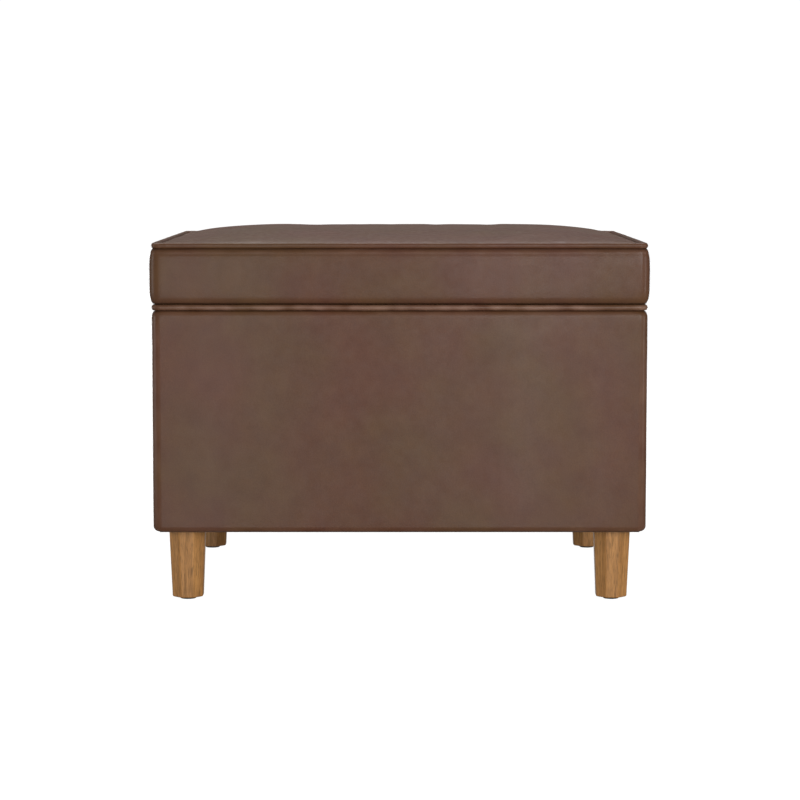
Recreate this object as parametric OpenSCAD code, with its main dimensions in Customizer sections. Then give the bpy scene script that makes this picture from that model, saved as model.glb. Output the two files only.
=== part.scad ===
// Storage ottoman: an upholstered box on four tapered legs, with a padded lid on a continuous hinge
// and two folding lid stays. Millimetres. X is the width, -Y the front, +Z up.
// The origin is on the floor, under the middle of the box.

/* [Body] */
// Width of the body over its leather
body_w = 615; // [560:1:700]
// Depth of the body over its leather
body_d = 495; // [440:1:560]
// Height of the body, from its underside to its rim
body_h = 276.4; // [260:0.1:320]
// Radius of the body's upright corners
corner_r = 11; // [9:0.5:16]
// Thickness of the plywood panels
panel_t = 12; // [10:1:15]
// Thickness of the foam wrap on the outside of the panels
padding_t = 5; // [4:0.5:8]
// Thickness of the leather
leather_t = 1.2; // [1:0.1:1.5]
// Thickness of the lining cloth
lining_t = 0.8; // [0.6:0.1:1]

/* [Lid] */
// Height of the leather band round the lid
band_h = 68; // [50:1:80]
// How far the band swells at the middle of its height
bulge = 2.5; // [1:0.5:4]
// How far the band turns in at its two seams
band_tuck = 2; // [1:0.5:3]
// Height of the crowned top above the band
crown_h = 20.8; // [18:0.1:28]
// Diameter of the piping
welt_d = 7.5; // [6:0.25:8]
// Gap between the body's rim and the lid board
seam_gap = 8.8; // [7.9:0.1:9]
// Thickness of the lid board
board_t = 12; // [10:1:15]

/* [Legs] */
// Length of a leg
leg_h = 85.5; // [60:0.1:120]
// Width of a leg's eight-sided top, across its flats
leg_top_w = 45.3; // [38:0.1:48]
// Width of a leg's eight-sided foot, across its flats
leg_foot_w = 38.2; // [30:0.1:42]
// Distance from the body's faces to a leg's centre line
leg_inset = 40.3; // [38:0.1:46]
// Diameter of a foot glide
glide_d = 21; // [16:0.5:26]
// Thickness of a foot glide
glide_t = 3; // [2:0.5:5]
// Diameter of a leg's hanger bolt
bolt_d = 8; // [6:1:8]

/* [Hinge] */
// Length of the continuous hinge
hinge_l = 560; // [480:20:560]
// Thickness of a leaf
leaf_t = 1.5; // [1:0.1:1.6]
// Radius of the knuckles
knuckle_r = 3.3; // [3:0.1:3.4]
// Radius of the pin
pin_r = 1.9; // [1.5:0.1:2]
// Length of a knuckle and the gap beside it
knuckle_pitch = 20; // [10:5:20]

/* [Lid stays] */
// Length of a lower arm, and of the line from the hinge to the lid bracket's pivot
stay_reach = 150; // [140:1:160]
// How far the lid bracket's pivot hangs below the hinge
stay_hang = 11; // [9:1:13]
// How far the body bracket's pivot lies below the hinge
stay_drop = 150; // [140:1:160]
// How far the body bracket's pivot lies in front of the hinge
stay_front = 68; // [66:1:74]
// Width of an arm
arm_w = 14; // [12:1:16]
// Thickness of an arm
arm_t = 2; // [1.6:0.1:2]
// How far the lid opens, in degrees
open_angle = 100; // [95:1:105]

/* [Hidden] */
$fn = 48;
EPS = 1; // how far a cutting shape runs past what it cuts

// Heights
leg_z = glide_t;
cover_z = leg_z + leg_h; // underside of the dust cover
dust_t = 0.6;
body_z = cover_z + dust_t; // underside of the body
rim_z = body_z + body_h;
panel_z0 = body_z + leather_t;
panel_z1 = rim_z - leather_t;
floor_z = panel_z0 + panel_t;
flap_z = rim_z - 21.5; // lower edge of the leather turned in over the rim
lid_z = rim_z + seam_gap; // underside of the lid board
band_z1 = lid_z + band_h;
top_z = band_z1 + crown_h;
liner_z = lid_z - lining_t;

// Plan sizes
frame_w = body_w - 2 * (leather_t + padding_t);
frame_d = body_d - 2 * (leather_t + padding_t);
room_w = frame_w - 2 * panel_t;
room_d = frame_d - 2 * panel_t;
post_leg = 24; // short sides of a triangular corner post
fold_w = 25; // leather turned in under the body
leg_x = body_w / 2 - leg_inset;
leg_y = body_d / 2 - leg_inset;
board_inset = 3.3; // the board's edge, inside the body's outline
board_w = body_w - 2 * board_inset;
board_d = body_d - 2 * board_inset;
board_r = corner_r - board_inset;

// Hinge line
hinge_y = body_d / 2 + bulge - knuckle_r;
hinge_z = (rim_z + liner_z) / 2;
leaf_y0 = room_d / 2; // front edge of both leaves
hinge_screw_y = (frame_d - panel_t) / 2;
knuckle_gap = 0.4;
knuckle_n = hinge_l / knuckle_pitch;
HINGE_SCREWS_X = [for (i = [-3:3]) i * hinge_l / 7];

// Piping
welt_r = welt_d / 2;
welt_w = body_w / 2 - welt_r; // half width of its centre line
welt_half_d = body_d / 2 - welt_r;
welt_bend_r = corner_r - welt_r;
top_welt_z = band_z1 + welt_r;
low_welt_z = rim_z + 0.35 + welt_r;

// Crowned top: it stands straight up beside the piping and then rises to a flat middle
crown_inset = 8;
crown_edge_h = 5;
crown_run = 145;
crown_power = 2.3; // how quickly the rise fades towards the middle

// Lid stays, laid out in the plane of the arms as [in front of the hinge, above the hinge]
stay_gap = 0.4;
rivet_r = 2.5;
rivet_head_r = 4.5;
rivet_head_t = 1.2;
arm_fit = 0.05; // radial clearance of an arm on its rivet
BODY_PIVOT = [stay_front, -stay_drop];
LID_PIVOT = [stay_reach, -stay_hang];
ELBOW = BODY_PIVOT + LID_PIVOT;
bracket_x = room_w / 2 - lining_t; // outer face of the body bracket
lower_arm_x = bracket_x - arm_t - stay_gap;
upper_arm_x = lower_arm_x - arm_t - stay_gap;
BODY_BRACKET_SCREWS = [[-7, 36], [7, 36], [0, 20]]; // from the body bracket's pivot
lid_bracket_w = 22;
lid_bracket_l = 44;
LID_BRACKET_SCREWS_Y = [-14, 14];
lid_bracket_screw_x = lower_arm_x - 14;
lid_pivot_y = hinge_y - LID_PIVOT[0];

// Fasteners
screw_r = 1.75;
screw_l = 10.5; // of the shank under a screw's head
head_r = 3.4;
countersink_h = 1.5;
panel_screw_l = 28;
panel_screw_margin = 40; // from a panel's ends to its outer screws
staple_l = 10;
staple_w = 1.2;
staple_t = 0.6;
staple_pitch = 50;

// Leg fittings
bolt_in_leg = 38;
bolt_top_z = floor_z - 0.8;
tee_d = bolt_d + 2;
tee_flange_r = 9.5;
tee_flange_t = 1.5;
tee_l = 9.5;
glide_nail_d = 3;
glide_nail_l = 14;

SIDES = ["left", "right"];
CORNERS = [["front_left", -1, -1], ["front_right", 1, -1], ["rear_left", -1, 1], ["rear_right", 1, 1]];

// ---------- shapes that repeat ----------

module rounded_rect(w, d, r) {
    square([w - 2 * r, d], center = true);
    square([w, d - 2 * r], center = true);
    for (x = [-1, 1], y = [-1, 1]) translate([x * (w / 2 - r), y * (d / 2 - r)]) circle(r);
}

module rounded_slab(w, d, r, z0, z1) {
    translate([0, 0, z0]) linear_extrude(z1 - z0) rounded_rect(w, d, r);
}

module block(w, d, z0, z1) {
    translate([-w / 2, -d / 2, z0]) cube([w, d, z1 - z0]);
}

// Points of a quarter bend about (cx, cy) from the angle a0 over sweep degrees, in n steps.
function bend(cx, cy, r, a0, sweep, n = 6) =
    [for (i = [0:n]) let (a = a0 + sweep * i / n) [cx + r * cos(a), cy + r * sin(a)]];

// An anticlockwise rounded rectangle that stands grow outside the body's outline, at height z.
function lid_ring(grow, z) = let (
        r = grow > -corner_r / 2 ? corner_r + grow : corner_r / 2 - 0.2 * (grow + corner_r / 2),
        w = body_w / 2 + grow - r,
        d = body_d / 2 + grow - r
    ) [for (p = concat(bend(w, d, r, 0, 90), bend(-w, d, r, 90, 90),
                      bend(-w, -d, r, 180, 90), bend(w, -d, r, 270, 90)))
        [p[0], p[1], z]];

// How far the lid's band stands outside the body's outline at height z: even, and turned in at its seams.
function band_grow(z) = bulge - (bulge + band_tuck) * pow(2 * (z - lid_z) / band_h - 1, 6);

// [grow, z] up the band from z0 to z1, moved inwards by shrink. The steps are short near both ends.
function band_profile(z0, z1, shrink, n = 10) =
    [for (i = [0:n]) let (z = z0 + (z1 - z0) * (1 - cos(180 * i / n)) / 2) [band_grow(z) - shrink, z]];

// [grow, z] from the piping to the flat middle of the crowned top, moved inwards and down by shrink.
function crown_profile(shrink, n = 6) = concat(
    [[-crown_inset - shrink, band_z1]],
    [for (i = [0:n]) let (u = pow(i / n, 1.5))
        [-crown_inset - shrink - crown_run * u,
         top_z - shrink - (crown_h - crown_edge_h) * pow(1 - u, crown_power)]]);

function reversed(list) = [for (i = [len(list) - 1:-1:0]) list[i]];

// Joins rings with the same number of points. A ring that is clockwise as seen along the way of the
// rings makes a solid the right way out.
module skin(rings, closed = false) {
    n = len(rings);
    m = len(rings[0]);
    walls = [for (i = [0:n - (closed ? 1 : 2)], k = [0:m - 1]) let (
            a = i * m, b = ((i + 1) % n) * m, k1 = (k + 1) % m
        ) [a + k, b + k, b + k1, a + k1]];
    caps = closed ? [] : [[for (k = [0:m - 1]) k], [for (k = [m - 1:-1:0]) (n - 1) * m + k]];
    polyhedron([for (ring = rings) each ring], concat(walls, caps));
}

module lid_skin(profile, closed = false) {
    skin([for (p = profile) lid_ring(p[0], p[1])], closed);
}

// The piping's path: clockwise from the right end of the back, round all four corners.
function welt_path() = let (w = welt_w - welt_bend_r, d = welt_half_d - welt_bend_r, r = welt_bend_r) concat(
    bend(w, d, r, 90, -90), bend(w, -d, r, 0, -90), bend(-w, -d, r, -90, -90), bend(-w, d, r, 180, -90));

// A round cord swept along level points. Each ring stands square to its neighbours' direction.
module sweep_cord(path, r, z, closed) {
    sides = 12;
    n = len(path);
    function near(i) = closed ? (i + n) % n : min(max(i, 0), n - 1);
    skin([for (i = [0:n - 1]) let (
            t = path[near(i + 1)] - path[near(i - 1)],
            out = [-t[1], t[0]] / norm(t)
        ) [for (k = [0:sides - 1]) let (a = 360 * k / sides)
            [path[i][0] + r * cos(a) * out[0], path[i][1] + r * cos(a) * out[1], z + r * sin(a)]]], closed);
}

module wood_screw_shank(l) {
    tip = 3;
    cylinder(r = screw_r, h = l - tip);
    translate([0, 0, l - tip]) cylinder(r1 = screw_r, r2 = 0.4, h = tip);
}

// A pan-head screw standing on z = 0 and pointing up.
module pan_screw(l) {
    translate([0, 0, -1.8]) difference() {
        cylinder(r = head_r, h = 1.8);
        translate([-2.2, -0.4, -EPS]) cube([4.4, 0.8, EPS + 0.8]);
        translate([-0.4, -2.2, -EPS]) cube([0.8, 4.4, EPS + 0.8]);
    }
    wood_screw_shank(l);
}

// A flat-head screw, and the countersunk hole that it fills. Its face is at z = 0, and it points up.
module flat_screw(l) {
    difference() {
        cylinder(r1 = head_r, r2 = screw_r, h = countersink_h);
        translate([-2, -0.35, -EPS]) cube([4, 0.7, EPS + 0.6]);
        translate([-0.35, -2, -EPS]) cube([0.7, 4, EPS + 0.6]);
    }
    translate([0, 0, countersink_h]) wood_screw_shank(l);
}

module flat_screw_hole(l) {
    cylinder(r1 = head_r, r2 = screw_r, h = countersink_h);
    cylinder(r = screw_r, h = countersink_h + l);
}

module at_corners() {
    for (c = CORNERS) translate([c[1] * leg_x, c[2] * leg_y, 0]) children();
}

module mirrored(side) {
    mirror([side == "left" ? 1 : 0, 0, 0]) children();
}

// ---------- frame of the body ----------

// Stands screws at the ends of the front and back panels, which they hold to the side panels.
module at_panel_screws() {
    middle = (panel_z0 + panel_z1) / 2;
    reach = (panel_z1 - panel_z0) / 2 - panel_screw_margin;
    for (x = [-1, 1], y = [0, 1], i = [-1:1]) mirror([0, y, 0])
        translate([x * (frame_w - panel_t) / 2, frame_d / 2, middle + i * reach])
            rotate([90, 0, 0]) children();
}

module front_panel() {
    color("burlywood") difference() {
        translate([-frame_w / 2, -frame_d / 2, panel_z0]) cube([frame_w, panel_t, panel_z1 - panel_z0]);
        at_panel_screws() flat_screw_hole(panel_screw_l);
    }
}

module back_panel() {
    color("burlywood") difference() {
        translate([-frame_w / 2, room_d / 2, panel_z0]) cube([frame_w, panel_t, panel_z1 - panel_z0]);
        at_panel_screws() flat_screw_hole(panel_screw_l);
        at_hinge_body_screws() flat_screw_hole(screw_l);
    }
}

module side_panel(side) {
    color("burlywood") difference() {
        mirrored(side) difference() {
            translate([room_w / 2, -room_d / 2, panel_z0]) cube([panel_t, room_d, panel_z1 - panel_z0]);
            at_body_bracket_screws() flat_screw_hole(screw_l);
        }
        at_panel_screws() flat_screw_hole(panel_screw_l);
    }
}

module panel_screws() {
    color("silver") at_panel_screws() flat_screw(panel_screw_l);
}

module bottom_panel() {
    color("burlywood") difference() {
        block(room_w, room_d, panel_z0, floor_z);
        at_corners() {
            translate([0, 0, panel_z0 - EPS]) cylinder(d = tee_d, h = panel_t + 2 * EPS);
            translate([0, 0, floor_z - tee_flange_t]) cylinder(r = tee_flange_r, h = tee_flange_t + EPS);
        }
    }
}

module corner_posts() {
    color("tan") for (x = [0, 1], y = [0, 1]) mirror([x, 0, 0]) mirror([0, y, 0])
        translate([room_w / 2, room_d / 2, floor_z]) linear_extrude(flap_z - lining_t - floor_z)
            polygon([[0, 0], [-post_leg, 0], [0, -post_leg]]);
}

// ---------- upholstery of the body ----------

// Four flat pads: the front and back ones turn the corners, and the side ones butt against them.
module body_padding() {
    cut = 0.3;
    color("lightyellow") for (i = [0, 1]) {
        mirror([0, i, 0]) intersection() {
            padding_space();
            translate([-body_w / 2, frame_d / 2, panel_z0]) cube([body_w, 2 * padding_t, body_h]);
        }
        mirror([i, 0, 0]) intersection() {
            padding_space();
            translate([frame_w / 2, cut - frame_d / 2, panel_z0])
                cube([2 * padding_t, frame_d - 2 * cut, body_h]);
        }
    }
}

module padding_space() {
    rounded_slab(body_w - 2 * leather_t, body_d - 2 * leather_t, corner_r - leather_t, panel_z0, panel_z1);
}

module body_cover() {
    color("saddlebrown") difference() {
        rounded_slab(body_w, body_d, corner_r, body_z, rim_z);
        difference() {
            padding_space();
            block(room_w, room_d, flap_z, rim_z);
        }
        block(room_w - 2 * leather_t, room_d - 2 * leather_t, floor_z, rim_z + EPS);
        block(body_w - 2 * fold_w, body_d - 2 * fold_w, body_z - EPS, floor_z + EPS);
        at_hinge_body_screws() flat_screw_hole(screw_l);
    }
}

// A rectangle with its corners cut off at 45 degrees.
module chamfered_rect(w, d, c) {
    x = w / 2;
    y = d / 2;
    polygon([[x - c, y], [x, y - c], [x, c - y], [x - c, -y],
             [c - x, -y], [-x, c - y], [-x, y - c], [c - x, y]]);
}

module lining() {
    inner_cut = post_leg - (2 - sqrt(2)) * lining_t;
    color("dimgray") difference() {
        union() {
            translate([0, 0, floor_z]) linear_extrude(flap_z - floor_z)
                chamfered_rect(room_w, room_d, post_leg);
            block(room_w, room_d, flap_z - lining_t, flap_z);
        }
        translate([0, 0, floor_z + lining_t]) linear_extrude(body_h)
            chamfered_rect(room_w - 2 * lining_t, room_d - 2 * lining_t, inner_cut);
        for (side = SIDES) mirrored(side) at_body_bracket_screws() flat_screw_hole(screw_l);
    }
}

module dust_cover() {
    margin = 8;
    color("dimgray") difference() {
        block(body_w - 2 * margin, body_d - 2 * margin, cover_z, body_z);
        at_corners() translate([0, 0, cover_z - EPS]) cylinder(d = bolt_d, h = dust_t + 2 * EPS);
    }
}

// Staple crowns in a rectangle of w by d, lying under z.
module staple_ring(w, d, z) {
    nx = floor(w / staple_pitch / 2);
    ny = floor(d / staple_pitch / 2);
    for (side = [-1, 1]) {
        for (i = [-nx:nx]) if (abs(i) < nx || abs(i * staple_pitch) < w / 2 - staple_l)
            translate([i * staple_pitch, side * d / 2, z - staple_t / 2])
                cube([staple_l, staple_w, staple_t], center = true);
        for (i = [-ny:ny]) if (abs(i) < ny || abs(i * staple_pitch) < d / 2 - staple_l)
            translate([side * w / 2, i * staple_pitch, z - staple_t / 2])
                cube([staple_w, staple_l, staple_t], center = true);
    }
}

module dust_cover_staples() {
    color("silver") staple_ring(body_w - 26, body_d - 26, cover_z);
}

// ---------- legs ----------

module leg(c) {
    flats = cos(180 / 8); // across the flats over across the corners
    color("peru") translate([c[1] * leg_x, c[2] * leg_y, leg_z]) difference() {
        rotate(180 / 8) cylinder(d1 = leg_foot_w / flats, d2 = leg_top_w / flats, h = leg_h, $fn = 8);
        translate([0, 0, leg_h - bolt_in_leg]) cylinder(d = bolt_d, h = bolt_in_leg + EPS);
        translate([0, 0, -EPS]) cylinder(d = glide_nail_d, h = glide_nail_l + EPS);
    }
}

module hanger_bolts() {
    z0 = cover_z - bolt_in_leg;
    color("silver") at_corners() {
        translate([0, 0, z0 + 1]) cylinder(d = bolt_d, h = bolt_top_z - z0 - 1);
        translate([0, 0, z0]) cylinder(d1 = bolt_d - 2, d2 = bolt_d, h = 1);
    }
}

module tee_nuts() {
    color("gray") at_corners() difference() {
        union() {
            translate([0, 0, floor_z - tee_flange_t]) cylinder(r = tee_flange_r, h = tee_flange_t);
            translate([0, 0, floor_z - tee_l]) cylinder(d = tee_d, h = tee_l);
        }
        translate([0, 0, floor_z - tee_l - EPS]) cylinder(d = bolt_d, h = tee_l + 2 * EPS);
    }
}

module foot_glides() {
    edge = 1;
    color("black") at_corners() {
        cylinder(d1 = glide_d - 2 * edge, d2 = glide_d, h = edge);
        translate([0, 0, edge]) cylinder(d = glide_d, h = glide_t - edge);
        translate([0, 0, glide_t]) cylinder(d = glide_nail_d, h = glide_nail_l);
    }
}

// ---------- continuous hinge ----------

// parity 0 is the body's set of knuckles, and 1 is the lid's.
function knuckle_x(i) = -hinge_l / 2 + i * knuckle_pitch;

module along_hinge() {
    translate([0, hinge_y, hinge_z]) rotate([0, 90, 0]) children();
}

module knuckle_zone(parity, r) {
    for (i = [parity:2:knuckle_n - 1]) translate([knuckle_x(i) + knuckle_gap / 2, 0, 0])
        along_hinge() cylinder(r = r, h = knuckle_pitch - knuckle_gap);
}

// A leaf whose plate spans z0 to z0 + leaf_t.
module leaf(parity, z0, bore_r) {
    relief = knuckle_r + 0.5;
    difference() {
        union() {
            translate([-hinge_l / 2, leaf_y0, z0]) cube([hinge_l, hinge_y - leaf_y0, leaf_t]);
            knuckle_zone(parity, knuckle_r);
        }
        for (i = [1 - parity:2:knuckle_n - 1])
            translate([knuckle_x(i) - knuckle_gap / 2, hinge_y - relief, hinge_z - relief])
                cube([knuckle_pitch + knuckle_gap, 2 * relief, 2 * relief]);
        translate([-hinge_l / 2 - EPS, 0, 0]) along_hinge() cylinder(r = bore_r, h = hinge_l + 2 * EPS);
    }
}

// Stands screws in the body leaf, pointing down, and in the lid leaf, pointing up.
module at_hinge_body_screws() {
    for (x = HINGE_SCREWS_X) translate([x, hinge_screw_y, rim_z + leaf_t]) rotate([180, 0, 0]) children();
}

module at_hinge_lid_screws() {
    for (x = HINGE_SCREWS_X) translate([x, hinge_screw_y, liner_z - leaf_t]) children();
}

module hinge_body_leaf() {
    color("silver") difference() {
        leaf(0, rim_z, pin_r);
        at_hinge_body_screws() flat_screw_hole(screw_l);
    }
}

module hinge_lid_leaf() {
    running_clearance = 0.07;
    color("silver") difference() {
        leaf(1, liner_z - leaf_t, pin_r + running_clearance);
        at_hinge_lid_screws() flat_screw_hole(screw_l);
    }
}

module hinge_pin() {
    color("gray") translate([-hinge_l / 2, 0, 0]) along_hinge() cylinder(r = pin_r, h = hinge_l);
}

module hinge_body_screws() {
    color("silver") at_hinge_body_screws() flat_screw(screw_l);
}

module hinge_lid_screws() {
    color("silver") at_hinge_lid_screws() flat_screw(screw_l);
}

// ---------- lid stays ----------

// Stands a flat shape up in the stays' plane, with its outer face at x and its thickness inwards.
module stay_plate(x, t) {
    translate([x, hinge_y, hinge_z]) rotate([90, 0, -90]) linear_extrude(t) children();
}

module rivet(centre, x_outer, x_inner) {
    stay_plate(x_outer, x_outer - x_inner) translate(centre) circle(rivet_r);
}

module rivet_head(centre, x_outer) {
    stay_plate(x_outer, rivet_head_t) translate(centre) circle(rivet_head_r);
}

// A flat bar from a to b, with round eyes that stand a little proud of its edges.
module bar(a, b, w) {
    d = b - a;
    for (p = [a, b]) translate(p) circle(d = w + 1);
    translate(a) rotate(atan2(d[1], d[0])) translate([0, -w / 2]) square([norm(d), w]);
}

// Stands screws in the right body bracket, pointing outwards.
module at_body_bracket_screws() {
    for (p = BODY_BRACKET_SCREWS)
        translate([bracket_x - arm_t, hinge_y - BODY_PIVOT[0] - p[0], hinge_z + BODY_PIVOT[1] + p[1]])
            rotate([0, 90, 0]) children();
}

module stay_body_bracket(side) {
    color("silver") mirrored(side) difference() {
        stay_plate(bracket_x, arm_t) difference() {
            translate(BODY_PIVOT + [0, 16]) rounded_rect(28, 58, 5);
            translate(BODY_PIVOT) circle(rivet_r);
        }
        at_body_bracket_screws() flat_screw_hole(screw_l);
    }
}

// Their heads are sunk, because the lower arm swings over them.
module stay_body_screws() {
    color("silver") for (side = SIDES) mirrored(side) at_body_bracket_screws() flat_screw(screw_l);
}

module stay_body_rivet(side) {
    color("gray") mirrored(side) {
        rivet(BODY_PIVOT, bracket_x, lower_arm_x - arm_t);
        rivet_head(BODY_PIVOT, lower_arm_x - arm_t);
    }
}

// The lug that meets the upper arm's edge when the lid is fully open.
lug_along = 13;
lug_w = 3;
lug_gap = 0.4;

module lug_place() {
    shut_angle = atan2(stay_drop, -stay_front);
    translate(ELBOW) rotate(shut_angle - open_angle)
        translate([lug_along, -arm_w / 2 - lug_gap - lug_w / 2]) children();
}

module stay_lower_arm(side) {
    color("silver") mirrored(side) {
        stay_plate(lower_arm_x, arm_t) difference() {
            union() {
                bar(BODY_PIVOT, ELBOW, arm_w);
                translate(ELBOW) circle(d = arm_w + 4);
                lug_place() square([10, lug_w], center = true);
                lug_place() translate([-lug_along, lug_w / 2]) square([lug_along + 5, 5]);
            }
            translate(BODY_PIVOT) circle(rivet_r + arm_fit);
            translate(ELBOW) circle(rivet_r);
        }
        stay_plate(lower_arm_x - arm_t, arm_t + stay_gap) lug_place() square([10, lug_w], center = true);
    }
}

module stay_elbow_rivet(side) {
    color("gray") mirrored(side) {
        rivet(ELBOW, lower_arm_x, upper_arm_x - arm_t - stay_gap);
        rivet_head(ELBOW, lower_arm_x + rivet_head_t);
        rivet_head(ELBOW, upper_arm_x - arm_t - stay_gap);
    }
}

module stay_upper_arm(side) {
    color("silver") mirrored(side) stay_plate(upper_arm_x, arm_t) difference() {
        bar(LID_PIVOT, ELBOW, arm_w);
        for (p = [LID_PIVOT, ELBOW]) translate(p) circle(rivet_r + 2 * arm_fit);
    }
}

module stay_lid_bracket(side) {
    color("silver") mirrored(side) difference() {
        union() {
            stay_plate(lower_arm_x, arm_t) difference() {
                union() {
                    translate(LID_PIVOT) circle(r = 9);
                    translate(LID_PIVOT - [12, 0]) square([24, liner_z - hinge_z + stay_hang]);
                }
                translate(LID_PIVOT) circle(rivet_r);
            }
            translate([lower_arm_x - lid_bracket_w, lid_pivot_y - lid_bracket_l / 2, liner_z - arm_t])
                cube([lid_bracket_w, lid_bracket_l, arm_t]);
        }
        at_lid_bracket_screws() cylinder(r = screw_r, h = screw_l);
    }
}

// Stands screws in the right lid bracket, pointing up.
module at_lid_bracket_screws() {
    for (y = LID_BRACKET_SCREWS_Y)
        translate([lid_bracket_screw_x, lid_pivot_y + y, liner_z - arm_t]) children();
}

module stay_lid_rivet(side) {
    color("gray") mirrored(side) {
        rivet(LID_PIVOT, lower_arm_x, upper_arm_x - arm_t - stay_gap);
        rivet_head(LID_PIVOT, lower_arm_x + rivet_head_t);
        rivet_head(LID_PIVOT, upper_arm_x - arm_t - stay_gap);
    }
}

module stay_lid_screws() {
    color("silver") for (side = SIDES) mirrored(side) at_lid_bracket_screws() pan_screw(screw_l);
}

// ---------- lid ----------

module lid_holes() {
    at_hinge_lid_screws() flat_screw_hole(screw_l);
    for (side = SIDES) mirrored(side) at_lid_bracket_screws() cylinder(r = screw_r, h = screw_l);
}

module lid_board() {
    color("burlywood") difference() {
        rounded_slab(board_w, board_d, board_r, lid_z, lid_z + board_t);
        lid_holes();
    }
}

module lid_foam() {
    slack = leather_t + 0.3;
    color("lightyellow")
        lid_skin(concat(band_profile(lid_z + board_t, band_z1 - slack, slack), crown_profile(slack)));
}

module lid_top_cover() {
    color("saddlebrown") lid_skin(concat(reversed(crown_profile(leather_t)), crown_profile(0)));
}

module lid_boxing() {
    color("saddlebrown")
        lid_skin(concat(band_profile(lid_z, band_z1, 0), reversed(band_profile(lid_z, band_z1, leather_t))),
                 true);
}

module lid_top_welt() {
    color("saddlebrown") sweep_cord(welt_path(), welt_r, top_welt_z, true);
}

// The lower piping stops at both ends of the hinge.
module lid_bottom_welt() {
    end_x = hinge_l / 2 + 3;
    color("saddlebrown")
        sweep_cord(concat([[end_x, welt_half_d]], welt_path(), [[-end_x, welt_half_d]]),
                   welt_r, low_welt_z, false);
}

module lid_liner() {
    edge = 7.5;
    color("dimgray") difference() {
        block(body_w - 2 * edge, body_d - 2 * edge, liner_z, lid_z);
        lid_holes();
    }
}

module lid_liner_staples() {
    color("silver") difference() {
        staple_ring(body_w - 26, body_d - 26, liner_z);
        translate([-body_w / 2, leaf_y0 - EPS, liner_z - EPS]) cube([body_w, body_d, 2 * EPS]);
    }
}

module lid_bumpers() {
    bumper_r = 5;
    rest_gap = 0.3;
    x = room_w / 2 - 20;
    y = (room_d + panel_t) / 2 - 1;
    color("black") for (side = [-1, 1]) translate([side * x, -y, rim_z + rest_gap])
        cylinder(r = bumper_r, h = liner_z - rim_z - rest_gap);
}

// ---------- nodes ----------

front_panel();
back_panel();
for (side = SIDES) side_panel(side);
bottom_panel();
corner_posts();
panel_screws();
body_padding();
body_cover();
lining();
dust_cover();
dust_cover_staples();
for (c = CORNERS) leg(c);
hanger_bolts();
tee_nuts();
foot_glides();
hinge_body_leaf();
hinge_pin();
hinge_body_screws();
for (side = SIDES) stay_body_bracket(side);
for (side = SIDES) stay_body_rivet(side);
stay_body_screws();
for (side = SIDES) stay_lower_arm(side);
for (side = SIDES) stay_elbow_rivet(side);
for (side = SIDES) stay_upper_arm(side);
lid_board();
lid_foam();
lid_top_cover();
lid_boxing();
lid_top_welt();
lid_bottom_welt();
lid_liner();
lid_liner_staples();
lid_bumpers();
hinge_lid_leaf();
hinge_lid_screws();
for (side = SIDES) stay_lid_bracket(side);
for (side = SIDES) stay_lid_rivet(side);
stay_lid_screws();
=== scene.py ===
"""The looks of a storage ottoman: leather, piping, cloth, foam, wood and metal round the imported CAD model.

Lengths are in metres, in the CAD model's frame: X is the width, -Y the front, and +Z up.
"""
import math

import bpy
import numpy as np
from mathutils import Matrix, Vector, noise


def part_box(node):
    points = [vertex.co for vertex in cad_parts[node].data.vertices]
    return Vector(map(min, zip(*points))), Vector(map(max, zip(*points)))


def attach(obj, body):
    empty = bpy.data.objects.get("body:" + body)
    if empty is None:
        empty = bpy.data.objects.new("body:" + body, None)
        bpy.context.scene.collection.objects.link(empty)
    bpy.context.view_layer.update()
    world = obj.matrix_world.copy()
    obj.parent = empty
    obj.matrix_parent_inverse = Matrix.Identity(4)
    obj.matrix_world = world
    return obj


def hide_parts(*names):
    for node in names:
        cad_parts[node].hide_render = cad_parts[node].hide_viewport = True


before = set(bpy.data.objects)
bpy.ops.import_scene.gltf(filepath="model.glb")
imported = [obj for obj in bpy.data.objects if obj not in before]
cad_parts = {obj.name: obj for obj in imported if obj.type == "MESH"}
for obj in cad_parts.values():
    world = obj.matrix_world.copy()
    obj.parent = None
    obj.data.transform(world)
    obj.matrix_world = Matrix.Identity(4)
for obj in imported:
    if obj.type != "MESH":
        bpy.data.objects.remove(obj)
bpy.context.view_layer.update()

MM = 0.001

# ---------- sizes, from the CAD nodes ----------

COVER_LO, COVER_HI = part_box("body_cover")
BAND_LO, BAND_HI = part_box("lid_boxing")
CROWN_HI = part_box("lid_top_cover")[1]
TOP_WELT_LO, TOP_WELT_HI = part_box("lid_top_welt")
LOW_WELT_LO, LOW_WELT_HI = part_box("lid_bottom_welt")
LINING_LO, LINING_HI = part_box("lining")
LINER_LO, LINER_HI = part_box("lid_liner")
DUST_LO, DUST_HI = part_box("dust_cover")
BOARD_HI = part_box("lid_board")[1]
FRAME_HI = Vector((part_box("front_panel")[1].x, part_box("back_panel")[1].y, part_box("front_panel")[1].z))

HALF_W, HALF_D = COVER_HI.x, COVER_HI.y
RIM_Z, BODY_Z = COVER_HI.z, COVER_LO.z
CORNER_R = 11 * MM
LEATHER_T = 1.2 * MM
WELT_R = (TOP_WELT_HI.z - TOP_WELT_LO.z) / 2
HINGE_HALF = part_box("hinge_pin")[1].x


# ---------- meshes ----------

def smooth_step(x):
    x = np.clip(x, 0, 1)
    return x * x * (3 - 2 * x)


def ripple(points, size, seed=0.0):
    """Smooth noise from about -1 to 1 at each point, with lumps of that size."""
    shift = Vector((seed * 7.31, seed * 3.17, seed * 5.93))
    return np.array([noise.noise(Vector(p) / size + shift) * 1.6 for p in points])


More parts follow.
